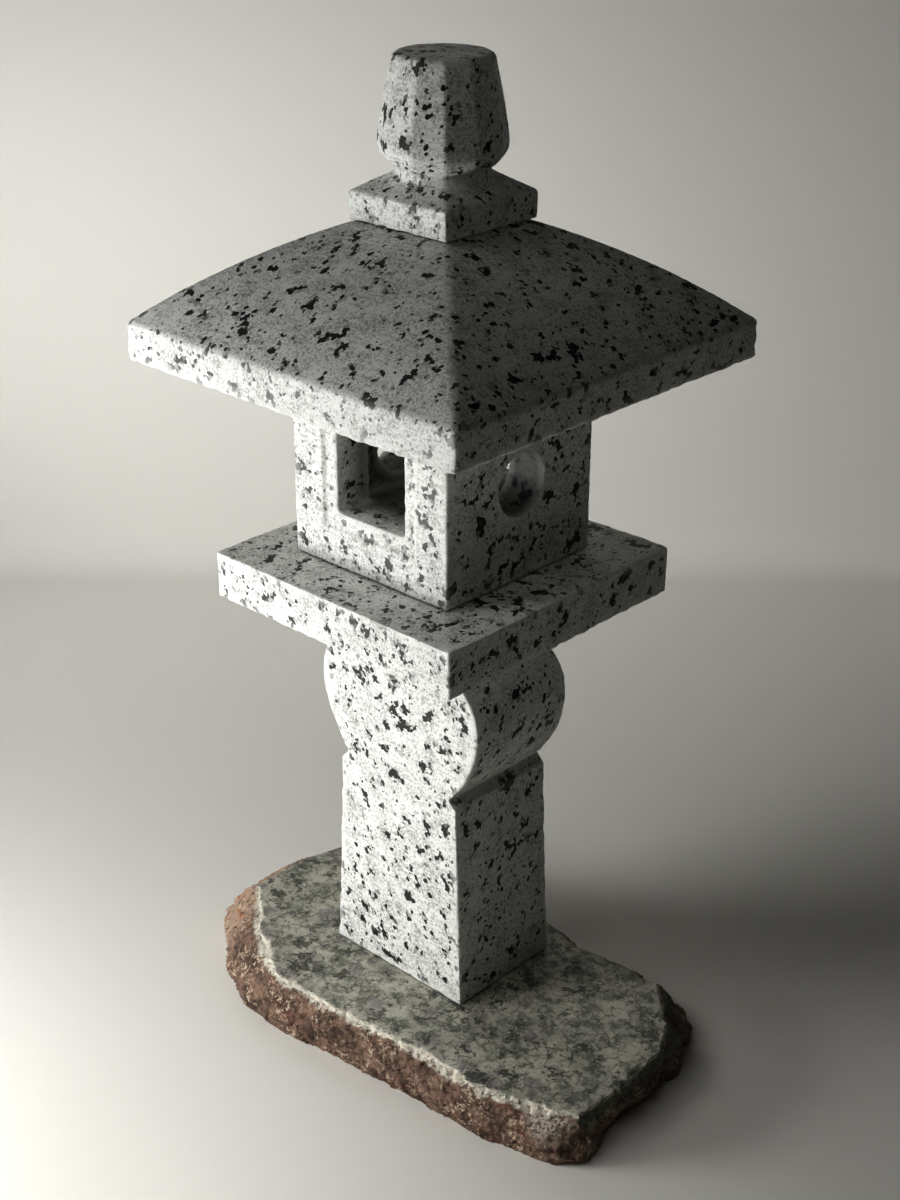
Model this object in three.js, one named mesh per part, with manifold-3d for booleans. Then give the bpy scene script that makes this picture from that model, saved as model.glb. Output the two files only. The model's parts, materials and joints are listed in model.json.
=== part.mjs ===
// Tabletop stone lantern: a natural flagstone, a rolled post, a platform, a firebox, a roof and a finial,
// stacked on steel locating pins. Millimetres, +Z up. The origin lies under the lantern's axis, on the
// plane that the flagstone stands on. The square windows look along Y and the round ones along X.

import * as THREE from 'three';
import { mergeVertices } from 'three/addons/utils/BufferGeometryUtils.js';
import Module from 'manifold-3d';

const wasm = await Module();
wasm.setup();

// ---- Driving dimensions ----------------------------------------------------------------------------

// flagstone
const slabThickness = 27;
const slabBulge = 3; // how far the split sides belly out at half height
const slabRipple = 1.1; // unevenness of the split sides

// post
const postHeight = 202;
const footWidth = 88; // along X
const waistWidth = 78; // along X, just under the notch
const footDepth = 67; // along Y
const headDepth = 63; // along Y
const notchHeight = 115.5;
const notchWidth = 69.5;
const rollWidth = 104.5;
const rollHeight = 156; // height of the rolls' widest line
const neckWidth = 68;
const shoulderHeight = 181;

// platform
const platformWidth = 152;
const platformThickness = 24;

// firebox
const fireboxWidth = 98;
const fireboxHeight = 98;
const chamberWidth = 53;
const windowWidth = 42;
const windowHeight = 42;
const sillHeight = 27;
const rebateMargin = 8.5; // width of the sunk band round each square window
const rebateDepth = 1.4;
const moonRadius = 15;
const moonHeight = 46.5;

// roof
const roofWidth = 202.5; // along X
const roofDepth = 199; // along Y
const eaveThickness = 18;
const roofHeight = 64;
const roofTopWidth = 56;
const roofCrown = 3.6; // rise of the curved slopes above a straight one
const seatDepth = 4.5; // how far the firebox's head enters the roof
const seatClearance = 1;

// finial
const plateWidth = 59;
const plateThickness = 13;
const plateRise = 11;
const plateCrest = 24; // width left at the top of the plate's slopes
const neckRadius = 20.8;
const jewelSides = 12; // the jewel is dressed in soft flats, one facing each way that the windows look
const jewelRadius = 28.9;
const jewelTopRadius = 22.8;
const jewelNeckHeight = 23; // heights above the plate's underside
const jewelWaistHeight = 34;
const jewelRimHeight = 68.3;
const jewelHeight = 72.6;
const jewelRimRound = 3.4;
const tenonWidth = 22;
const tenonLength = 14;

// steel pins and their holes
const pinClearance = 0.3;
const holeEndGap = 1;
const slabPin = { radius: 4, below: 16, above: 24, offset: 24 };
const headPin = { radius: 3, below: 16, above: 10, offset: 22 };
const seatPin = { radius: 3, below: 11, above: 10, offset: 37 };

const tenonClearance = 0.5;
const cutOver = 2; // how far a cutter runs past the face that it opens

// ---- Levels ----------------------------------------------------------------------------------------

const postFoot = slabThickness;
const platformBottom = postFoot + postHeight;
const fireboxBottom = platformBottom + platformThickness;
const roofBottom = fireboxBottom + fireboxHeight - seatDepth;
const roofTop = roofBottom + roofHeight;

// ---- Helpers ---------------------------------------------------------------------------------------

function toSolid(geometry) {
  const bare = geometry.clone();
  bare.deleteAttribute('normal');
  bare.deleteAttribute('uv');
  const merged = mergeVertices(bare, 1e-4);
  const index = merged.index.array;
  const kept = []; // triangles that keep some area once their corners are merged
  for (let i = 0; i < index.length; i += 3) {
    const [a, b, c] = [index[i], index[i + 1], index[i + 2]];
    if (a !== b && b !== c && c !== a) kept.push(a, b, c);
  }
  return new wasm.Manifold(new wasm.Mesh({
    numProp: 3,
    vertProperties: new Float32Array(merged.attributes.position.array),
    triVerts: new Uint32Array(kept),
  }));
}

function toGeometry(solid) {
  const mesh = solid.getMesh();
  const geometry = new THREE.BufferGeometry();
  geometry.setAttribute('position', new THREE.BufferAttribute(new Float32Array(mesh.vertProperties), 3));
  geometry.setIndex(new THREE.BufferAttribute(new Uint32Array(mesh.triVerts), 1));
  geometry.computeVertexNormals();
  return geometry;
}

function cut(geometry, cutters) {
  let solid = toSolid(geometry);
  for (const cutter of cutters) solid = solid.subtract(toSolid(cutter));
  return toGeometry(solid);
}

// a box standing on z = low
function block(width, depth, height, x, y, low) {
  return new THREE.BoxGeometry(width, depth, height).translate(x, y, low + height / 2);
}

// a vertical cylinder standing on z = low
function rod(radius, height, x, y, low) {
  const geometry = new THREE.CylinderGeometry(radius, radius, height, 24);
  return geometry.rotateX(Math.PI / 2).translate(x, y, low + height / 2);
}

// a solid of square plan: points give half-widths and heights, from the axis up and back to the axis
function squareTurned(points) {
  const corner = points.map(([half, z]) => new THREE.Vector2(half * Math.SQRT2, z));
  const geometry = new THREE.LatheGeometry(corner, 4, Math.PI / 4);
  return geometry.rotateX(Math.PI / 2);
}

// a solid with that many sides, one of them facing along X, from the same kind of list
function manySided(points, sides) {
  const profile = points.map(([radius, z]) => new THREE.Vector2(radius, z));
  return new THREE.LatheGeometry(profile, sides, Math.PI / sides).rotateX(Math.PI / 2);
}

// points on a circular arc from start to end that rises by crown above its chord
function arcPoints(start, end, crown, steps) {
  const [dx, dz] = [end[0] - start[0], end[1] - start[1]];
  const chord = Math.hypot(dx, dz);
  const radius = (chord * chord / 4 + crown * crown) / (2 * crown);
  const half = Math.asin(chord / 2 / radius);
  const points = [];
  for (let i = 0; i <= steps; i++) {
    const angle = half * (2 * i / steps - 1);
    const along = 0.5 + radius * Math.sin(angle) / chord;
    const above = radius * Math.cos(angle) - radius + crown;
    points.push([start[0] + dx * along - dz / chord * above, start[1] + dz * along + dx / chord * above]);
  }
  return points;
}

// the two holes for a pair of pins that stand on the line y = 0, either side of the axis
function pinHoles(pin, reach, level, upward) {
  const depth = reach + holeEndGap + cutOver;
  const low = upward ? level - cutOver : level - reach - holeEndGap;
  return [-1, 1].map((side) => rod(pin.radius + pinClearance, depth, side * pin.offset, 0, low));
}

// ---- Flagstone -------------------------------------------------------------------------------------

// corners of the dressed top face, anticlockwise, each with how far the foot spreads past it there
const slabCorners = [
  { x: 137, y: 9, spread: -4 },
  { x: 126, y: 28, spread: 9 },
  { x: 103, y: 49, spread: 17 },
  { x: 76, y: 48, spread: 16 },
  { x: 51, y: 46, spread: 11 },
  { x: 20, y: 52, spread: 8 },
  { x: -30, y: 55, spread: 7 },
  { x: -76, y: 46, spread: 9 },
  { x: -103, y: 26, spread: 13 },
  { x: -111, y: -6, spread: 18 },
  { x: -109, y: -32, spread: 22 },
  { x: -84, y: -54, spread: 19 },
  { x: -60, y: -71, spread: 14 },
  { x: -40, y: -80, spread: 7 },
  { x: 2, y: -78, spread: 3 },
  { x: 48, y: -73, spread: 3 },
  { x: 93, y: -72, spread: 2 },
  { x: 126, y: -61, spread: 6 },
  { x: 138, y: -54, spread: 2 },
  { x: 140, y: -26, spread: -6 },
];
const slabRings = 5;
const slabSteps = 5; // steps along each side of the outline

function slabOutline() {
  const points = [];
  slabCorners.forEach((from, i) => {
    const to = slabCorners[(i + 1) % slabCorners.length];
    for (let step = 0; step < slabSteps; step++) {
      const t = step / slabSteps;
      points.push(new THREE.Vector2(from.x + (to.x - from.x) * t, from.y + (to.y - from.y) * t));
    }
  });
  return points;
}

// how far the foot spreads at a place on the outline, taken from the two nearest corners
function slabSpread(x, y) {
  let sum = 0;
  let weight = 0;
  for (const corner of slabCorners) {
    const near = 1 / (1 + ((corner.x - x) ** 2 + (corner.y - y) ** 2) / 60) ** 2;
    sum += near * corner.spread;
    weight += near;
  }
  return sum / weight;
}

// ripple of the split face, by the angle round the slab and the height
function slabWobble(angle, z) {
  return Math.sin(17 * angle + z / 4) + 0.7 * Math.sin(41 * angle - z / 3) + 0.5 * Math.sin(67 * angle + z);
}

function baseSlab() {
  const shape = new THREE.Shape(slabOutline());
  const geometry = new THREE.ExtrudeGeometry(shape, {
    depth: slabThickness, steps: slabRings, bevelEnabled: false,
  });
  const place = geometry.attributes.position;
  for (let i = 0; i < place.count; i++) {
    const [x, y, z] = [place.getX(i), place.getY(i), place.getZ(i)];
    const down = 1 - z / slabThickness; // 0 at the top face, 1 underneath
    const belly = slabBulge * Math.sin(Math.PI * down);
    const rough = slabRipple * slabWobble(Math.atan2(y, x), z) * Math.sin(Math.PI * (0.15 + 0.7 * down));
    const push = z > slabThickness - 0.01 ? 0 : slabSpread(x, y) * down ** 0.8 + belly + rough;
    const out = Math.hypot(x, y * 1.6);
    place.setXY(i, x + push * x / out, y + push * 1.6 * y / out);
  }
  return cut(geometry, pinHoles(slabPin, slabPin.below, slabThickness, false));
}

// ---- Post ------------------------------------------------------------------------------------------

// right half of the post's outline, from the foot up; the left half is its mirror
function postShape() {
  const widths = [footWidth, waistWidth, notchWidth, rollWidth, neckWidth];
  const [foot, waist, notch, roll, neck] = widths.map((width) => width / 2);
  const lip = notchHeight - (waist - notch);
  const side = new THREE.Path();
  side.moveTo(foot, 0);
  side.lineTo(waist, lip);
  side.lineTo(notch, notchHeight);
  side.bezierCurveTo(
    notch + (roll - notch) * 0.53, notchHeight + (rollHeight - notchHeight) * 0.27,
    roll, notchHeight + (rollHeight - notchHeight) * 0.58,
    roll, rollHeight,
  );
  side.bezierCurveTo(
    roll, rollHeight + (shoulderHeight - rollHeight) * 0.5,
    neck + (roll - neck) * 0.6, shoulderHeight - (shoulderHeight - rollHeight) * 0.14,
    neck, shoulderHeight,
  );
  side.lineTo(neck, postHeight);
  const right = side.getPoints(14);
  const left = right.map((p) => new THREE.Vector2(-p.x, p.y)).reverse();
  return new THREE.Shape([...right, ...left]);
}

function post() {
  const geometry = new THREE.ExtrudeGeometry(postShape(), { depth: footDepth, bevelEnabled: false });
  geometry.rotateX(Math.PI / 2).translate(0, footDepth / 2, 0);
  const place = geometry.attributes.position;
  for (let i = 0; i < place.count; i++) {
    const z = place.getZ(i);
    place.setY(i, place.getY(i) * THREE.MathUtils.lerp(1, headDepth / footDepth, z / postHeight));
    place.setZ(i, z + postFoot);
  }
  return cut(geometry, [
    ...pinHoles(slabPin, slabPin.above, postFoot, true),
    ...pinHoles(headPin, headPin.below, platformBottom, false),
  ]);
}

// ---- Platform --------------------------------------------------------------------------------------

function platform() {
  return cut(block(platformWidth, platformWidth, platformThickness, 0, 0, platformBottom), [
    ...pinHoles(headPin, headPin.above, platformBottom, true),
    ...pinHoles(seatPin, seatPin.below, fireboxBottom, false),
  ]);
}

// ---- Firebox ---------------------------------------------------------------------------------------

function firebox() {
  const through = fireboxWidth + 2 * cutOver;
  const sill = fireboxBottom + sillHeight;
  const rebate = [windowWidth + 2 * rebateMargin, windowHeight + 2 * rebateMargin];
  const rebatePlace = fireboxWidth / 2 - rebateDepth + (rebateDepth + cutOver) / 2;
  const moon = new THREE.CylinderGeometry(moonRadius, moonRadius, through, 48);
  moon.rotateZ(Math.PI / 2).translate(0, 0, fireboxBottom + moonHeight);
  return cut(block(fireboxWidth, fireboxWidth, fireboxHeight, 0, 0, fireboxBottom), [
    block(chamberWidth, chamberWidth, fireboxHeight - sillHeight + cutOver, 0, 0, sill),
    block(windowWidth, through, windowHeight, 0, 0, sill),
    ...[-1, 1].map((side) => block(
      rebate[0], rebateDepth + cutOver, rebate[1], 0, side * rebatePlace, sill - rebateMargin,
    )),
    moon,
    ...pinHoles(seatPin, seatPin.above, fireboxBottom, true),
  ]);
}

// ---- Roof ------------------------------------------------------------------------------------------

function roof() {
  const eave = roofWidth / 2;
  const top = roofTopWidth / 2;
  const slope = arcPoints([eave, roofBottom + eaveThickness], [top, roofTop], -roofCrown, 10);
  const body = squareTurned([[0, roofBottom], [eave, roofBottom], ...slope, [0, roofTop]]);
  body.scale(1, roofDepth / roofWidth, 1);
  const seat = fireboxWidth + 2 * seatClearance;
  const socket = tenonWidth + 2 * tenonClearance;
  const socketDepth = tenonLength + holeEndGap;
  return cut(body, [
    block(seat, seat, seatDepth + cutOver, 0, 0, roofBottom - cutOver),
    block(socket, socket, socketDepth + cutOver, 0, 0, roofTop - socketDepth),
  ]);
}

// ---- Finial ----------------------------------------------------------------------------------------

function jewelProfile() {
  const shoulder = new THREE.SplineCurve([
    new THREE.Vector2(neckRadius, jewelNeckHeight),
    new THREE.Vector2(neckRadius + (jewelRadius - neckRadius) * 0.72, jewelNeckHeight + 4.6),
    new THREE.Vector2(jewelRadius, jewelWaistHeight),
    new THREE.Vector2((jewelRadius + jewelTopRadius) / 2 + 0.5, (jewelWaistHeight + jewelRimHeight) / 2),
    new THREE.Vector2(jewelTopRadius, jewelRimHeight),
  ]);
  const rim = [];
  for (let i = 1; i <= 4; i++) {
    const turn = Math.PI / 2 * i / 4;
    rim.push([
      jewelTopRadius - jewelRimRound * (1 - Math.cos(turn)),
      jewelRimHeight + jewelRimRound * Math.sin(turn),
    ]);
  }
  return [
    [0, plateThickness], [neckRadius, plateThickness],
    ...shoulder.getPoints(20).map((p) => [p.x, p.y]),
    ...rim, [0, jewelHeight],
  ];
}

function finial() {
  const half = plateWidth / 2;
  const crest = plateCrest / 2;
  const plate = squareTurned([
    [0, 0], [half, 0], [half, plateThickness],
    [crest, plateThickness + plateRise], [0, plateThickness + plateRise],
  ]);
  const jewel = manySided(jewelProfile(), jewelSides);
  const tenon = block(tenonWidth, tenonWidth, tenonLength + plateThickness / 2, 0, 0, -tenonLength);
  const solid = toSolid(plate).add(toSolid(jewel)).add(toSolid(tenon));
  return toGeometry(solid).translate(0, 0, roofTop);
}

// ---- Scene graph -----------------------------------------------------------------------------------

const granite = { color: 0xb9b9b5, roughness: 0.8, metalness: 0 };
const fieldstone = { color: 0x6f6a5e, roughness: 0.85, metalness: 0 };
const steel = { color: 0xb4b6b8, roughness: 0.35, metalness: 1 };

const lantern = new THREE.Group();

function addPiece(name, geometry, finish) {
  const mesh = new THREE.Mesh(geometry, new THREE.MeshStandardMaterial(finish));
  mesh.name = name;
  lantern.add(mesh);
}

function addPins(name, pin, level) {
  for (const [side, word] of [[-1, 'left'], [1, 'right']]) {
    const length = pin.below + pin.above;
    addPiece(`${name}_${word}`, rod(pin.radius, length, side * pin.offset, 0, level - pin.below), steel);
  }
}

addPiece('base_slab', baseSlab(), fieldstone);
addPiece('post', post(), granite);
addPiece('platform', platform(), granite);
addPiece('firebox', firebox(), granite);
addPiece('roof', roof(), granite);
addPiece('finial', finial(), granite);
addPins('slab_pin', slabPin, postFoot);
addPins('head_pin', headPin, platformBottom);
addPins('seat_pin', seatPin, fireboxBottom);

export default lantern;
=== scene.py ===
import json
import math

import bpy
from mathutils import Matrix, Vector, noise
from mathutils.kdtree import KDTree

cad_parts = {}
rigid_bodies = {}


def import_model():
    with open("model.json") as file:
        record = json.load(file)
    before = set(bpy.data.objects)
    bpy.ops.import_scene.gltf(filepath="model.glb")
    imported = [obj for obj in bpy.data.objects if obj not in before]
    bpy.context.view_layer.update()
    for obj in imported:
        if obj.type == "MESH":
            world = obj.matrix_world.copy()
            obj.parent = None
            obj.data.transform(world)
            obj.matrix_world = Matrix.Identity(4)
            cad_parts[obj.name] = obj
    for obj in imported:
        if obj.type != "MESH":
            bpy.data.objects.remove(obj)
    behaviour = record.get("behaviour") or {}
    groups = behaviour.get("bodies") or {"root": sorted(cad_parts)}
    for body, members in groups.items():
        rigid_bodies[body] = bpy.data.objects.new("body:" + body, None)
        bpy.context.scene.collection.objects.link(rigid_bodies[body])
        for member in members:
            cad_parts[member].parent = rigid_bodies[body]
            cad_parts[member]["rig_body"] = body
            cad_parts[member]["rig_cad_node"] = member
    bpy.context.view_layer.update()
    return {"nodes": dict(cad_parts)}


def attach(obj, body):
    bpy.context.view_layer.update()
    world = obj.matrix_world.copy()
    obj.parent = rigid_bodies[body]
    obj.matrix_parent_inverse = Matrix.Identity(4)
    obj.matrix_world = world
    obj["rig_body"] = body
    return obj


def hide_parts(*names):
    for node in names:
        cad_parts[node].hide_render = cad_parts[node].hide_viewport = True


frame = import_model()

mm = 0.001
nodes = frame["nodes"]
scene = bpy.context.scene


# one colour from its sRGB hex value to the linear numbers that shaders use
def linearColour(hexValue):
    channels = [int(hexValue[i:i + 2], 16) / 255 for i in (0, 2, 4)]
    return tuple(c / 12.92 if c <= 0.04045 else ((c + 0.055) / 1.055) ** 2.4 for c in channels) + (1.0,)


# adds one node to a material; settings are its properties, values its sockets, links its inputs
def addNode(tree, kind, settings=None, values=None, links=None):
    node = tree.nodes.new(kind)
    for name, value in (settings or {}).items():
        setattr(node, name, value)
    for socket, value in (values or {}).items():
        node.inputs[socket].default_value = value
    for socket, source in (links or {}).items():
        tree.links.new(source, node.inputs[socket])
    return node


# ---- camera ----

cameraView = {"turn": 43.26, "lift": 25.83, "roll": 0.16, "distance": 888.6, "lens": 55.64,
              "target": (2.5, 2.3, 226.1)}


def placeCamera(view):
    turn, lift = math.radians(view["turn"]), math.radians(view["lift"])
    back = Vector((math.sin(turn) * math.cos(lift), -math.cos(turn) * math.cos(lift), math.sin(lift)))
    eye = Vector(view["target"]) * mm + back * view["distance"] * mm
    bpy.ops.object.camera_add(location=eye, rotation=(math.pi / 2 - lift, 0, turn))
    camera = bpy.context.object
    camera.name = "camera"
    camera.rotation_euler.rotate_axis("Z", math.radians(view["roll"]))
    camera.data.lens = view["lens"]
    camera.data.sensor_width = 36
    scene.camera = camera
    return camera


placeCamera(cameraView)
print("camera placed")


# ---- floor and backdrop, one pale sheet that turns up behind the lantern ----

stageSheet = {"colour": "e9e7e3", "wide": 1.7, "deep": 1.02, "behind": 0.53, "high": 0.9, "bendRadius": 0.03,
              "bendSteps": 8, "table": "77746e", "tableSize": 6.0, "tableDrop": 0.002}


def makeStage(sheet):
    bpy.ops.object.select_all(action="DESELECT")
    bpy.ops.mesh.primitive_plane_add(size=1)
    floor = bpy.context.object
    floor.name = "floor_sheet"
    floor.scale = (sheet["wide"], sheet["deep"], 1)
    floor.location = (0, sheet["behind"] - sheet["deep"] / 2, 0)
    bpy.ops.object.transform_apply(location=True, rotation=True, scale=True)
    bpy.ops.object.mode_set(mode="EDIT")
    bpy.ops.mesh.select_mode(type="EDGE")
    bpy.ops.mesh.select_all(action="DESELECT")
    bpy.ops.object.mode_set(mode="OBJECT")
    for edge in floor.data.edges:
        edge.select = all(floor.data.vertices[v].co.y > sheet["behind"] - 0.001 for v in edge.vertices)
    bpy.ops.object.mode_set(mode="EDIT")
    bpy.ops.mesh.extrude_region_move(TRANSFORM_OT_translate={"value": (0, 0, sheet["high"])})
    bpy.ops.object.mode_set(mode="OBJECT")
    bend = floor.modifiers.new("sweep", "BEVEL")
    bend.width, bend.segments = sheet["bendRadius"], sheet["bendSteps"]
    bpy.ops.object.modifier_apply(modifier=bend.name)
    bpy.ops.object.shade_smooth_by_angle(angle=math.radians(40))
    floor.rotation_euler = (0, 0, math.radians(cameraView["turn"]))
    bpy.ops.object.transform_apply(location=True, rotation=True, scale=True)
    bpy.ops.object.select_all(action="DESELECT")
    bpy.ops.mesh.primitive_plane_add(size=sheet["tableSize"], location=(0, 0, -sheet["tableDrop"]))
    table = bpy.context.object
    table.name = "table_top"
    for piece, finish, colour in ((floor, "matt_paper_sweep", "colour"), (table, "grey_table", "table")):
        matt = bpy.data.materials.new(finish)
        matt.use_nodes = True
        shader = matt.node_tree.nodes["Principled BSDF"]
        shader.inputs["Base Color"].default_value = linearColour(sheet[colour])
        shader.inputs["Roughness"].default_value = 0.9
        piece.data.materials.append(matt)
    # the sheet shows from its front only, so that it never hides the lantern from a camera behind it
    sweep = floor.data.materials[0].node_tree
    fromBehind = addNode(sweep, "ShaderNodeNewGeometry").outputs["Backfacing"]
    clear = addNode(sweep, "ShaderNodeBsdfTransparent").outputs["BSDF"]
    seen = addNode(sweep, "ShaderNodeMixShader", links={0: fromBehind, 1: sweep.nodes["Principled BSDF"].outputs["BSDF"],
                   2: clear}).outputs["Shader"]
    sweep.links.new(seen, sweep.nodes["Material Output"].inputs["Surface"])


makeStage(stageSheet)
print("stage ready")


# ---- light: one broad window on the left, a little sky, soft fills on floor and wall, and a dim warm room ----

windowLight = {"name": "window_light", "place": (-0.265, -0.424, 0.19), "aim": (0, 0, 0.29), "wide": 0.22,
               "tall": 0.13, "spread": 180, "power": 2.25, "colour": (0.985, 1.0, 0.985)}
skyLight = {"name": "sky_light", "place": (-0.42, -0.73, 0.9), "aim": (0, 0, 0.3), "wide": 0.5,
            "tall": 0.35, "spread": 180, "power": 2.0, "colour": (1.0, 1.0, 0.98)}
floorLight = {"name": "floor_light", "place": (0.14, -0.56, 0.5), "aim": (0.15, -0.5, 0), "wide": 0.4,
              "tall": 0.4, "spread": 90, "power": 1.0, "colour": (1.0, 1.0, 0.96)}
wallLight = {"name": "wall_light", "place": (-0.98, -0.85, 0.4), "aim": (-0.4, 0.25, 0.22), "wide": 0.3,
             "tall": 0.3, "spread": 42, "power": 1.05, "colour": (1.0, 1.0, 0.98)}
shadeLight = {"name": "shade_light", "place": (0.62, -0.12, 0.72), "aim": (0, 0, 0.45), "wide": 0.3,
              "tall": 0.3, "spread": 40, "power": 0.015, "colour": (1.0, 1.0, 0.97)}
viewContrast = {"gamma": 0.83}  # below 1 deepens the shaded faces, as a camera's contrast curve does
roomLight = {"colour": (1.0, 1.0, 0.76), "strength": 0.011}


def placeLight(light):
    place, aim = Vector(light["place"]), Vector(light["aim"])
    bpy.ops.object.light_add(type="AREA", location=place, rotation=(aim - place).to_track_quat("-Z", "Y").to_euler())
    lamp = bpy.context.object
    lamp.name = light["name"]
    lamp.data.shape = "RECTANGLE"
    lamp.data.size, lamp.data.size_y = light["wide"], light["tall"]
    lamp.data.spread = math.radians(light["spread"])
    lamp.data.energy = light["power"]
    lamp.data.color = light["colour"]


def lightRoom(light):
    world = bpy.data.worlds.new("dim_room")
    world.use_nodes = True
    scene.world = world
    backdrop = world.node_tree.nodes["Background"]
    backdrop.inputs["Color"].default_value = light["colour"] + (1.0,)
    backdrop.inputs["Strength"].default_value = light["strength"]


for light in (windowLight, skyLight, floorLight, wallLight, shadeLight):
    placeLight(light)
lightRoom(roomLight)
scene.view_settings.view_transform = "Standard"
scene.view_settings.gamma = viewContrast["gamma"]
print("lights placed")


# ---- materials ----

# a noise pattern whose blotches measure about the given number of millimetres
def blotches(tree, place, size, detail=3.0, rough=0.6):
    return addNode(tree, "ShaderNodeTexNoise", values={"Scale": 1 / (size * mm), "Detail": detail,
                   "Roughness": rough}, links={"Vector": place}).outputs["Fac"]


# reads how far a value lies between two levels
def between(tree, value, low, high, toLow=0.0, toHigh=1.0):
    return addNode(tree, "ShaderNodeMapRange", values={"From Min": low, "From Max": high, "To Min": toLow,
                   "To Max": toHigh}, links={"Value": value}).outputs["Result"]


def sums(tree, operation, first, second):
    node = addNode(tree, "ShaderNodeMath", {"operation": operation})
    for index, part in enumerate((first, second)):
        if isinstance(part, (int, float)):
            node.inputs[index].default_value = part
        else:
            tree.links.new(part, node.inputs[index])
    return node.outputs[0]


# lays a colour, given as a hex value or a link, over another by a mask
def layer(tree, under, over, mask):
    node = addNode(tree, "ShaderNodeMix", {"data_type": "RGBA"})
    for socket, part in (("A", under), ("B", over)):
        if isinstance(part, str):
            node.inputs[socket].default_value = linearColour(part)
        else:
            tree.links.new(part, node.inputs[socket])
    if isinstance(mask, (int, float)):
        node.inputs["Factor"].default_value = mask
    else:
        tree.links.new(mask, node.inputs["Factor"])
    return node.outputs["Result"]


# pushes a place about, so that edges drawn from it come out ragged
def raggedPlace(tree, place, amount, size):
    wander = addNode(tree, "ShaderNodeTexNoise", values={"Scale": 1 / (size * mm), "Detail": 3.0,
                     "Roughness": 0.65}, links={"Vector": place}).outputs["Color"]
    centred = addNode(tree, "ShaderNodeVectorMath", {"operation": "SUBTRACT"}, {1: (0.5, 0.5, 0.5)},
                      {0: wander}).outputs["Vector"]
    push = addNode(tree, "ShaderNodeVectorMath", {"operation": "SCALE"}, {"Scale": 2 * amount * mm},
                   {0: centred}).outputs["Vector"]
    return addNode(tree, "ShaderNodeVectorMath", {"operation": "ADD"}, links={0: place, 1: push}).outputs["Vector"]


# crystals that go dark together: each Voronoi cell takes one tone from a slower noise at its own centre
def crystalTone(tree, place, cell, cluster, rough=0.62):
    cells = addNode(tree, "ShaderNodeTexVoronoi", values={"Scale": 1 / (cell * mm)}, links={"Vector": place})
    return blotches(tree, cells.outputs["Position"], cluster, 3.0, rough)


# sawn and honed white granite: milky feldspar with fine grey quartz, and black biotite in ragged clots that
# lean one way; it gives the eye a bright stone peppered with crisp dark flecks
graniteLook = {
    "feldspar": "f2f2f0", "quartz": "b2b2af", "biotite": "151514", "greyMica": "807f7b", "brown": "7d746c",
    # the joint tone and the chamber tone are painted shade; the pale arris tone is partly wear, partly a painted
    # highlight
    "seamShade": "191816", "bruiseAndHighlight": "f4f4f1", "chamberShade": "45433d", "grain": 1.15, "flake": 1.7, "clot": 6.5,
    "smallFlake": 1.1, "smallClot": 3.0, "pepper": 0.85, "warp": 0.8, "warpGrain": 2.0, "sawPitch": 0.9,
    "sawLength": 14.0, "seam": 0.7,
}


# painted shade: the walls of the lamp chamber are darkened where little light reaches inside, thinning out through the
# square windows, and in the round holes
fireboxShade = {"chamber": 27.5, "fadesBy": 42.0, "moonRadius": 15.4, "moonHeight": 299.5, "depth": 0.88}


def chamberShadeMask(tree, place):
    chamberShade = fireboxShade
    spot = addNode(tree, "ShaderNodeSeparateXYZ", links={"Vector": place})
    outward = sums(tree, "MAXIMUM", sums(tree, "ABSOLUTE", spot.outputs["X"], 0),
                   sums(tree, "ABSOLUTE", spot.outputs["Y"], 0))
    inside = between(tree, outward, chamberShade["chamber"] * mm, chamberShade["fadesBy"] * mm, chamberShade["depth"], 0)
    across = addNode(tree, "ShaderNodeVectorMath", {"operation": "MULTIPLY"}, {1: (0, 1, 1)}, {0: place})
    away = addNode(tree, "ShaderNodeVectorMath", {"operation": "DISTANCE"}, {1: (0, 0, chamberShade["moonHeight"] * mm)},
                   {0: across.outputs["Vector"]}).outputs["Value"]
    moon = between(tree, away, chamberShade["moonRadius"] * mm, (chamberShade["moonRadius"] + 0.4) * mm, chamberShade["depth"], 0)
    return sums(tree, "MAXIMUM", inside, moon)


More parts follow.
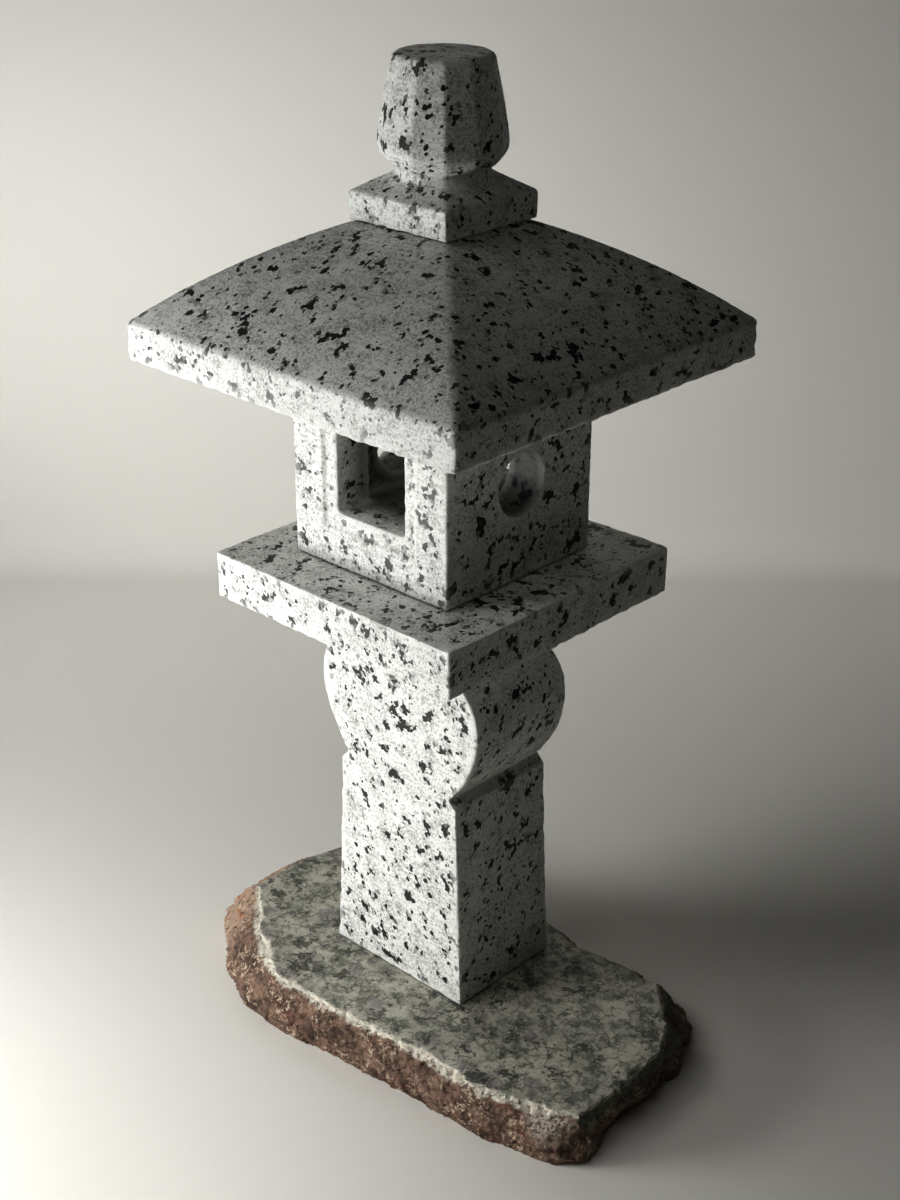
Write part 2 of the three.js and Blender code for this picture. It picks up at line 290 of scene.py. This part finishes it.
def graniteMaterial(name, wear):
    look = graniteLook
    clotLevel = wear["clot"]
    material = bpy.data.materials.new(name)
    material.use_nodes = True
    tree = material.node_tree
    shader = tree.nodes["Principled BSDF"]
    place = addNode(tree, "ShaderNodeTexCoord").outputs["Object"]
    # the quarry's grain runs along one direction, so flecks are drawn out that way
    turn = Vector(wear["lean"]).to_track_quat("Z", "Y").to_euler()
    block = addNode(tree, "ShaderNodeMapping", {"vector_type": "TEXTURE"},
                    {"Location": [s * mm for s in wear["shift"]], "Rotation": turn,
                     "Scale": (1.0, 1.0, wear["stretch"])},
                    {"Vector": place}).outputs["Vector"]
    ragged = raggedPlace(tree, block, look["warp"], look["warpGrain"])

    clots = crystalTone(tree, ragged, look["flake"], look["clot"])
    flecks = crystalTone(tree, ragged, look["smallFlake"], look["smallClot"])
    clotMask = between(tree, clots, clotLevel - 0.004, clotLevel + 0.004)
    fleckMask = between(tree, flecks, clotLevel + 0.042, clotLevel + 0.05)
    darkMask = sums(tree, "MAXIMUM", clotMask, fleckMask)
    greyMask = sums(tree, "MAXIMUM", between(tree, clots, clotLevel - 0.03, clotLevel - 0.01, 0, 0.55),
                    between(tree, flecks, clotLevel + 0.005, clotLevel + 0.03, 0, 0.5))
    stains = blotches(tree, ragged, 17.0, 4.0, 0.7)
    brownMask = between(tree, stains, 0.66, 0.69, 0, 0.8)

    # quartz shows as fine grey crumbs among the feldspar, gathered here and there
    crumbs = blotches(tree, place, look["grain"], 4.0, 0.7)
    haze = blotches(tree, block, 11.0, 3.0, 0.6)
    crumbLevel = sums(tree, "ADD", crumbs, between(tree, haze, 0.3, 0.7, -0.09, 0.09))
    pale = layer(tree, look["feldspar"], look["quartz"], between(tree, crumbLevel, 0.48, 0.64))
    pepper = crystalTone(tree, place, look["pepper"], 1.8)
    pale = layer(tree, pale, look["greyMica"], between(tree, pepper, 0.6, 0.64, 0, 0.55))

    # level saw lines, fine in height and long sideways
    sawPlace = addNode(tree, "ShaderNodeMapping", values={"Scale": (1 / (look["sawLength"] * mm),
                       1 / (look["sawLength"] * mm), 1 / (look["sawPitch"] * mm))}, links={"Vector": place})
    sawLines = addNode(tree, "ShaderNodeTexNoise", values={"Scale": 1.0, "Detail": 3.0, "Roughness": 0.6},
                       links={"Vector": sawPlace.outputs["Vector"]}).outputs["Fac"]
    sawn = layer(tree, pale, look["quartz"], between(tree, sawLines, 0.5, 0.72, 0, 0.55))

    coloured = layer(tree, sawn, look["greyMica"], greyMask)
    coloured = layer(tree, coloured, look["brown"], brownMask)
    # painted shade: the lamp chamber and its round holes are darkened
    if wear["chamberShaded"]:
        coloured = layer(tree, coloured, look["chamberShade"], chamberShadeMask(tree, place))
    coloured = layer(tree, coloured, look["biotite"], darkMask)
    # arrises are painted paler than the faces: partly bruising from knocks and handling, partly a painted highlight
    # where the rounded arrises catch the light
    arris = addNode(tree, "ShaderNodeAttribute", {"attribute_name": "wearAndHighlight"}).outputs["Fac"]
    coloured = layer(tree, coloured, look["bruiseAndHighlight"], sums(tree, "MULTIPLY", arris, 0.5))
    # painted shade: a dark band drawn along each joint between stones, standing in for the shadow in the gap where one
    # stone sits on the next
    height = addNode(tree, "ShaderNodeSeparateXYZ", links={"Vector": place}).outputs["Z"]
    for seam in wear["seams"]:
        off = sums(tree, "ABSOLUTE", sums(tree, "SUBTRACT", height, seam * mm), 0)
        coloured = layer(tree, coloured, look["seamShade"], between(tree, off, look["seam"] * mm * 0.6,
                         look["seam"] * mm, 0.9, 0))
    tree.links.new(coloured, shader.inputs["Base Color"])

    # honed feldspar scatters light, mica keeps a slight shine
    tree.links.new(between(tree, darkMask, 0, 1, 0.66, 0.48), shader.inputs["Roughness"])
    shader.inputs["IOR"].default_value = 1.54
    relief = addNode(tree, "ShaderNodeMath", {"operation": "MULTIPLY_ADD"}, {1: -0.6},
                     {0: darkMask, 2: sums(tree, "ADD", sawLines, crumbs)}).outputs[0]
    bump = addNode(tree, "ShaderNodeBump", values={"Strength": 0.5, "Distance": 0.12 * mm},
                   links={"Height": relief})
    tree.links.new(bump.outputs["Normal"], shader.inputs["Normal"])
    return material


flagShape = {"cell": 1.0, "honed": 27.0, "ledge": 1.7, "facet": 1.5, "facetCell": 13.0, "crust": 0.8,
             "roughEnd": -70.0, "crumbleWide": 2.9, "crumbleSpread": 2.3, "freshFacing": (-0.12, -0.99),
             "seed": 7}

# natural flagstone: its honed top is a mottled grey-olive stone with dark clusters; its split sides are a
# dark red-brown crust full of pale grains, rusty at the left end; the broken arris between shows fresh white
flagLook = {
    "top": "aeaca0", "topDark": "6f7167", "topPale": "cbc7b9", "topPurple": "8f888a", "vein": "3e403a",
    "cluster": "2a2d29", "crust": "866b5b", "crustDark": "46352c", "grain": "cbb8a2", "red": "6e4238",
    "rust": "a8713f", "pinkish": "b49c8a", "lichen": "c4c3b8", "fresh": "dfdacd", "green": "5b5f52",
    "nearWhite": "cfc8bb",
}
# places on the honed top where dark crystals gather, each with its reach, in millimetres
darkGatherings = ((70, -32, 15), (80, -66, 9), (98, -48, 6), (125, -33, 5), (128, -47, 8), (27, -59, 6), (66, -60, 7))


def flagstoneMaterial():
    look = flagLook
    material = bpy.data.materials.new("split_flagstone")
    material.use_nodes = True
    tree = material.node_tree
    shader = tree.nodes["Principled BSDF"]
    place = addNode(tree, "ShaderNodeTexCoord").outputs["Object"]
    spot = addNode(tree, "ShaderNodeSeparateXYZ", links={"Vector": place})
    ragged = raggedPlace(tree, place, 2.0, 4.0)
    drift = addNode(tree, "ShaderNodeMapping", values={"Location": (0.2, 0.4, 0.1)},
                    links={"Vector": ragged}).outputs["Vector"]
    side = addNode(tree, "ShaderNodeAttribute", {"attribute_name": "side"}).outputs["Fac"]
    rim = addNode(tree, "ShaderNodeAttribute", {"attribute_name": "rim"}).outputs["Fac"]
    east = addNode(tree, "ShaderNodeAttribute", {"attribute_name": "east"}).outputs["Fac"]

    # the honed top: blotches a few millimetres wide, purplish drifts, dark hairlines and black clusters
    mottle = blotches(tree, ragged, 5.0, 3.0, 0.62)
    top = layer(tree, look["topDark"], look["top"], between(tree, mottle, 0.42, 0.56))
    pale = between(tree, blotches(tree, ragged, 15.0, 4.0, 0.65), 0.5, 0.6, 0, 0.85)
    top = layer(tree, top, look["topPale"], pale)
    purple = between(tree, blotches(tree, drift, 15.0, 3.0, 0.65), 0.55, 0.63, 0, 0.8)
    top = layer(tree, top, look["topPurple"], purple)
    cracks = addNode(tree, "ShaderNodeTexVoronoi", {"feature": "DISTANCE_TO_EDGE"}, {"Scale": 1 / (6.0 * mm)},
                     {"Vector": ragged}).outputs["Distance"]
    crackGate = between(tree, blotches(tree, drift, 8.0, 2.0), 0.46, 0.54)
    top = layer(tree, top, look["vein"],
                sums(tree, "MULTIPLY", between(tree, cracks, 0.0, 0.09, 0.85, 0), crackGate))
    crystals = crystalTone(tree, ragged, 1.4, 12.0, 0.72)
    for x, y, reach in darkGatherings:
        away = addNode(tree, "ShaderNodeVectorMath", {"operation": "DISTANCE"},
                       {1: (x * mm, y * mm, flagShape["honed"] * mm)}, {0: ragged}).outputs["Value"]
        crystals = sums(tree, "ADD", crystals, between(tree, away, 0, reach * mm, 0.11, 0))
    top = layer(tree, top, look["cluster"], between(tree, crystals, 0.575, 0.6, 0, 0.85))
    salt = blotches(tree, place, 1.5, 3.0, 0.7)
    top = layer(tree, top, look["topPale"], between(tree, salt, 0.55, 0.68, 0, 0.65))
    top = layer(tree, top, look["topDark"], between(tree, salt, 0.45, 0.34, 0, 0.6))

    # the split sides: a crust of fine pale and dark grains, rusty at the left end
    crustTone = between(tree, blotches(tree, ragged, 8.0, 4.0, 0.7), 0.38, 0.56)
    crust = layer(tree, look["crustDark"], look["crust"], crustTone)
    redTone = between(tree, blotches(tree, drift, 16.0, 3.0), 0.59, 0.66, 0, 0.7)
    crust = layer(tree, crust, look["red"], redTone)
    leftward = sums(tree, "ADD", spot.outputs["X"], sums(tree, "MULTIPLY", mottle, 30 * mm))
    crust = layer(tree, crust, look["pinkish"], between(tree, leftward, -92 * mm, -74 * mm, 0.75, 0))
    rusty = sums(tree, "MULTIPLY", between(tree, leftward, -90 * mm, -80 * mm, 0.8, 0),
                 between(tree, blotches(tree, drift, 8.0, 5.0, 0.75), 0.54, 0.6))
    crust = layer(tree, crust, look["rust"], rusty)
    # a pale chalky patch low on the left end
    patchAway = addNode(tree, "ShaderNodeVectorMath", {"operation": "DISTANCE"}, {1: (-0.1, -0.047, 0.004)},
                        {0: ragged}).outputs["Value"]
    crust = layer(tree, crust, look["lichen"], between(tree, patchAway, 9 * mm, 13 * mm, 0.8, 0))
    # the right side is shaded green under its arris
    lift = sums(tree, "ADD", spot.outputs["Z"], sums(tree, "MULTIPLY", mottle, 16 * mm))
    greenMask = sums(tree, "MULTIPLY", east, between(tree, lift, 21 * mm, 28 * mm, 0.1, 0.9))
    crust = layer(tree, crust, look["green"], greenMask)
    grains = crystalTone(tree, ragged, 0.75, 2.6, 0.75)
    gathered = between(tree, blotches(tree, drift, 11.0, 3.0, 0.6), 0.44, 0.6, 0.12, 0.95)
    crust = layer(tree, crust, look["grain"],
                  sums(tree, "MULTIPLY", sums(tree, "MULTIPLY", between(tree, grains, 0.535, 0.57), gathered),
                       between(tree, greenMask, 0, 1, 1, 0.25)))
    darkGrains = crystalTone(tree, drift, 0.9, 3.0, 0.75)
    crust = layer(tree, crust, look["crustDark"], between(tree, darkGrains, 0.55, 0.59, 0, 0.75))
    # the near corner is chalky above
    nearAway = addNode(tree, "ShaderNodeVectorMath", {"operation": "DISTANCE"}, {1: (0.128, -0.066, 0.027)},
                       {0: ragged}).outputs["Value"]
    crust = layer(tree, crust, look["nearWhite"],
                  sums(tree, "MULTIPLY", between(tree, nearAway, 8 * mm, 17 * mm, 0.9, 0),
                       between(tree, salt, 0.42, 0.56)))

    stone = layer(tree, top, crust, side)
    fresh = between(tree, blotches(tree, place, 2.6, 3.0, 0.7), 0.38, 0.46)
    whites = layer(tree, look["fresh"], look["pinkish"], between(tree, salt, 0.52, 0.62, 0, 0.8))
    stone = layer(tree, stone, whites, sums(tree, "MULTIPLY", rim, fresh))
    tree.links.new(stone, shader.inputs["Base Color"])
    tree.links.new(between(tree, side, 0, 1, 0.55, 0.85), shader.inputs["Roughness"])
    shader.inputs["IOR"].default_value = 1.54
    relief = sums(tree, "ADD", sums(tree, "MULTIPLY", crystals, 0.4),
                  sums(tree, "MULTIPLY", sums(tree, "ADD", salt, grains), side))
    bump = addNode(tree, "ShaderNodeBump", values={"Strength": 0.7, "Distance": 0.5 * mm}, links={"Height": relief})
    tree.links.new(bump.outputs["Normal"], shader.inputs["Normal"])
    return material


# ---- carved stones ----

# soft arrises rounded by wear and the slight waviness of hand finishing; every push is inward, so stones keep their
# seats. Each stone's seams list the joint heights where painted shade is drawn, and the firebox's lamp chamber is
# darkened with painted shade
stoneWear = {
    "post": {"arris": 1.8, "soften": 2, "cell": 0.95, "wave": 0.25, "chip": 0.35, "shift": (140, 60, 20),
             "lean": (-0.5, 0.6, 0.65), "stretch": 1.25, "clot": 0.602, "seams": (27,), "chamberShaded": False},
    "platform": {"arris": 2.2, "soften": 5, "cell": 0.95, "wave": 0.3, "chip": 0.5, "shift": (20, 300, 90),
                 "lean": (-0.4, 0.5, 0.75), "stretch": 1.2, "clot": 0.592, "seams": (), "chamberShaded": False},
    "firebox": {"arris": 1.4, "soften": 4, "cell": 1.0, "wave": 0.25, "chip": 0.4, "shift": (410, 80, 150),
                "lean": (-0.5, 0.6, 0.65), "stretch": 1.2, "clot": 0.595, "seams": (253,), "chamberShaded": True},
    "roof": {"arris": 1.5, "soften": 2, "cell": 1.14, "wave": 0.35, "chip": 0.55, "shift": (60, 510, 230),
             "lean": (0.65, 0.75, 0.05), "stretch": 1.15, "clot": 0.605, "seams": (411,), "chamberShaded": False},
    "finial": {"arris": 1.3, "soften": 12, "cell": 0.7, "wave": 0.3, "chip": 0.6, "shift": (330, 220, 310),
               "lean": (0.3, 0.3, 0.9), "stretch": 1.2, "clot": 0.602, "seams": (410.5,), "chamberShaded": False},
}


def copyNode(nodeName, pieceName):
    bpy.ops.object.select_all(action="DESELECT")
    source = nodes[nodeName]
    source.select_set(True)
    bpy.context.view_layer.objects.active = source
    bpy.ops.object.duplicate()
    piece = bpy.context.object
    piece.name = pieceName
    piece.parent = None
    piece.matrix_world = Matrix.Identity(4)
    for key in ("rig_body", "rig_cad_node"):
        if key in piece:
            del piece[key]
    piece.data.materials.clear()
    bpy.ops.object.mode_set(mode="EDIT")
    bpy.ops.mesh.select_all(action="SELECT")
    bpy.ops.mesh.remove_doubles(threshold=0.00001)
    bpy.ops.mesh.dissolve_limited(angle_limit=math.radians(1))
    bpy.ops.mesh.normals_make_consistent(inside=False)
    bpy.ops.object.mode_set(mode="OBJECT")
    return piece


def applyModifier(piece, kind, **settings):
    modifier = piece.modifiers.new(kind.lower(), kind)
    for name, value in settings.items():
        setattr(modifier, name, value)
    bpy.context.view_layer.objects.active = piece
    bpy.ops.object.modifier_apply(modifier=modifier.name)


def cloudTexture(name, size, depth):
    texture = bpy.data.textures.new(name, "CLOUDS")
    texture.noise_scale = size * mm
    texture.noise_depth = depth
    return texture


# a vertex group that is 1 on the arrises and fades over the given distance, found where normals turn
def markArrises(piece, spread):
    mesh = piece.data
    group = piece.vertex_groups.new(name="arris")
    turnAt = [0.0] * len(mesh.vertices)
    for edge in mesh.edges:
        a, b = edge.vertices
        turn = mesh.vertices[a].normal.angle(mesh.vertices[b].normal, 0.0)
        turnAt[a] = max(turnAt[a], turn)
        turnAt[b] = max(turnAt[b], turn)
    weight = [min(1.0, max(0.0, (t - 0.12) / 0.4)) for t in turnAt]
    for _ in range(spread):
        grown = list(weight)
        for edge in mesh.edges:
            a, b = edge.vertices
            grown[a] = max(grown[a], weight[b] * 0.72)
            grown[b] = max(grown[b], weight[a] * 0.72)
        weight = grown
    for index, value in enumerate(weight):
        if value > 0.02:
            group.add([index], value, "REPLACE")
    return group


def carveStone(nodeName):
    wear = stoneWear[nodeName]
    piece = copyNode(nodeName, nodeName + "_stone")
    applyModifier(piece, "BEVEL", width=wear["arris"] * mm, segments=3, limit_method="ANGLE",
                  angle_limit=math.radians(25), use_clamp_overlap=True)
    applyModifier(piece, "REMESH", mode="VOXEL", voxel_size=wear["cell"] * mm, adaptivity=0.0)
    applyModifier(piece, "SMOOTH", factor=0.5, iterations=wear["soften"])
    markArrises(piece, 3)
    applyModifier(piece, "DISPLACE", texture=cloudTexture(nodeName + "_wave", 26, 1), mid_level=1.0,
                  strength=wear["wave"] * mm)
    applyModifier(piece, "DISPLACE", texture=cloudTexture(nodeName + "_tool", 3.2, 3), mid_level=1.0,
                  strength=0.16 * mm)
    chips = cloudTexture(nodeName + "_chips", 4.5, 2)
    chips.contrast = 3.0
    applyModifier(piece, "DISPLACE", texture=chips, mid_level=0.75, strength=wear["chip"] * mm, vertex_group="arris")
    # the pale arris tone stored here is partly wear, partly a painted highlight
    wearAndHighlight = piece.data.attributes.new("wearAndHighlight", "FLOAT", "POINT")
    for vertex in piece.data.vertices:
        wearAndHighlight.data[vertex.index].value = vertex.groups[0].weight if vertex.groups else 0.0
    bpy.ops.object.shade_smooth()
    piece.data.materials.append(graniteMaterial(nodeName + "_white_granite", wear))
    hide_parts(nodeName)
    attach(piece, "stand" if nodeName == "post" else nodeName)
    print(nodeName, "carved:", len(piece.data.polygons), "faces")
    return piece


for stoneName in stoneWear:
    carveStone(stoneName)


# ---- locating pins, cut from brushed stainless rod ----

# drawn stainless steel, brushed round the rod; the fine rings give the eye a satin sheen across each pin
pinLook = {"steel": "c3c4c3", "scratch": "9d9fa0", "ringPitch": 0.35, "roughLow": 0.28, "roughHigh": 0.42}


def pinMaterial():
    look = pinLook
    material = bpy.data.materials.new("brushed_stainless_rod")
    material.use_nodes = True
    tree = material.node_tree
    shader = tree.nodes["Principled BSDF"]
    place = addNode(tree, "ShaderNodeTexCoord").outputs["Object"]
    rings = addNode(tree, "ShaderNodeMapping", values={"Scale": (60, 60, 1 / (look["ringPitch"] * mm))},
                    links={"Vector": place}).outputs["Vector"]
    brushing = addNode(tree, "ShaderNodeTexNoise", values={"Scale": 1.0, "Detail": 4.0, "Roughness": 0.7},
                       links={"Vector": rings}).outputs["Fac"]
    tree.links.new(layer(tree, look["steel"], look["scratch"], between(tree, brushing, 0.45, 0.7)),
                   shader.inputs["Base Color"])
    tree.links.new(between(tree, brushing, 0.3, 0.7, look["roughLow"], look["roughHigh"]),
                   shader.inputs["Roughness"])
    shader.inputs["Metallic"].default_value = 1.0
    bump = addNode(tree, "ShaderNodeBump", values={"Strength": 0.2, "Distance": 0.02 * mm}, links={"Height": brushing})
    tree.links.new(bump.outputs["Normal"], shader.inputs["Normal"])
    return material


brushedSteel = pinMaterial()
for nodeName, pin in nodes.items():
    if "_pin_" in nodeName:
        for slot in pin.material_slots:
            slot.material = brushedSteel
print("pins finished")

# ---- flagstone under the post ----



# distance from every vertex to the nearest point of the honed face's outline
def rimDistances(mesh, honed):
    onTop = [v.co.z > honed * mm - 0.0004 and v.normal.z > 0.8 for v in mesh.vertices]
    outline = KDTree(len(mesh.vertices))
    facing = {}
    for pair in mesh.edges:
        a, b = pair.vertices
        if onTop[a] != onTop[b]:
            edge = b if onTop[a] else a
            outline.insert(mesh.vertices[edge].co, edge)
            facing[edge] = Vector(mesh.vertices[edge].normal.xy).normalized()
    outline.balance()
    found = [outline.find(v.co) for v in mesh.vertices]
    return onTop, [hit[2] for hit in found], [facing[hit[1]] for hit in found]


# height of a split face: flat facets, each tilted its own way, over layered ledges
def splitHeight(place, shape):
    centre = noise.voronoi(place / (shape["facetCell"] * mm))[1][0] * shape["facetCell"] * mm
    tilt = noise.noise_vector(centre / (3.1 * mm))
    facet = noise.cell(centre / (0.7 * mm)) * 0.5 + tilt.dot(place - centre) / (shape["facetCell"] * mm)
    ledge = noise.noise(Vector((place.x / 0.016, place.y / 0.016, place.z / 0.0045)))
    crumb = noise.fractal(place / 0.0024, 0.8, 2.1, 3)
    rough = 1.0 if place.x > shape["roughEnd"] * mm else 1.6
    return (facet * shape["facet"] + ledge * shape["ledge"] + crumb * shape["crust"] * rough) * mm


def splitFlagstone(shape):
    piece = copyNode("base_slab", "flagstone")
    applyModifier(piece, "REMESH", mode="VOXEL", voxel_size=shape["cell"] * mm, adaptivity=0.0)
    mesh = piece.data
    onTop, rimAway, facing = rimDistances(mesh, shape["honed"])
    lit = Vector(shape["freshFacing"])
    tones = {"side": [], "rim": [], "east": []}
    moves = []
    for vertex, flat, away, face in zip(mesh.vertices, onTop, rimAway, facing):
        place = vertex.co.copy()
        # the broken arris: its width jumps about, and it is broadest along the front
        freshness = min(1.0, max(0.12, (face.dot(lit) - 0.55) * 3.2))
        reach = shape["crumbleWide"] * (0.45 + 0.55 * freshness) + shape["crumbleSpread"] * (
            noise.noise(place / 0.011) + 0.8 * noise.noise(place / 0.0035))
        reach = max(0.4, reach) * mm
        nibble = max(0.0, 1 - away / reach)
        outward = Vector((vertex.normal.x, vertex.normal.y, 0))
        push = Vector((0, 0, 0))
        if not flat and place.z > 0.0003:
            share = min(1.0, away / 0.003) * (1 - abs(vertex.normal.z) ** 4)
            if outward.length > 0.05:
                push = outward.normalized() * splitHeight(place, shape) * share
        elif flat:
            push = Vector((0, 0, -0.00012 * (1 + noise.noise(place / 0.009))))
        cut = nibble * reach * (0.42 + 0.2 * noise.noise(place / 0.0022))
        push -= Vector((face.x, face.y, 1)) * cut
        moves.append(push)
        tones["side"].append(0.0 if flat else min(1.0, away / 0.0012))
        tones["rim"].append(min(1.0, nibble * 3) * freshness)
        tones["east"].append(min(1.0, max(0.0, face.x * 1.6 - 0.5 + face.y * 0.4)))
    for vertex, push in zip(mesh.vertices, moves):
        vertex.co += push
        vertex.co.z = max(vertex.co.z, 0.0)
    for name, values in tones.items():
        mesh.attributes.new(name, "FLOAT", "POINT").data.foreach_set("value", values)
    bpy.ops.object.shade_smooth_by_angle(angle=math.radians(35))
    piece.data.materials.append(flagstoneMaterial())
    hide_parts("base_slab")
    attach(piece, "stand")
    print("flagstone split:", len(mesh.polygons), "faces")
    return piece


noise.seed_set(flagShape["seed"])  # the facets tilt the same way on every run
splitFlagstone(flagShape)
